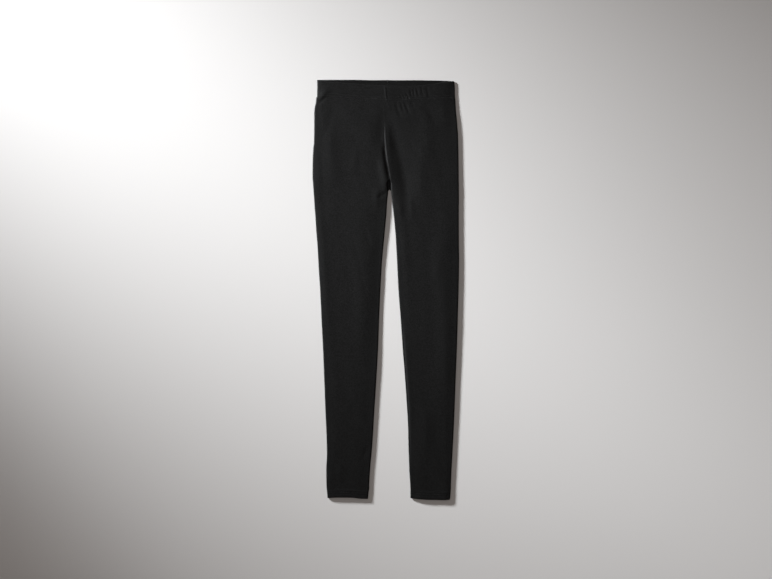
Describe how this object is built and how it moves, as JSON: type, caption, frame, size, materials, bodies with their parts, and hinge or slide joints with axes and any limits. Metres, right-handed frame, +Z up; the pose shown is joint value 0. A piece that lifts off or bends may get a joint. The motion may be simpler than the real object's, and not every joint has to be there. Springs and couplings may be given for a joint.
{
  "type": "leggings",
  "caption": "Full-length plain jersey leggings laid flat with the front up, with an elastic casing at the waist and turned-up hems.",
  "frame": {"origin": "on the surface that the leggings lie on, under the middle of their outline", "axes": "+X towards the wearer's left leg, +Y towards the waist, +Z up out of the front"},
  "size_m": [0.3442, 0.9866, 0.0062],
  "materials": {
    "jersey": "matte stretch jersey",
    "casing": "matte stretch jersey over elastic",
    "hem": "matte stretch jersey, turned up"
  },
  "bodies": {
    "root": {"right_leg_panel": "jersey", "left_leg_panel": "jersey", "right_waistband": "casing", "left_waistband": "casing", "right_hem": "hem", "left_hem": "hem"}
  },
  "joints": []
}
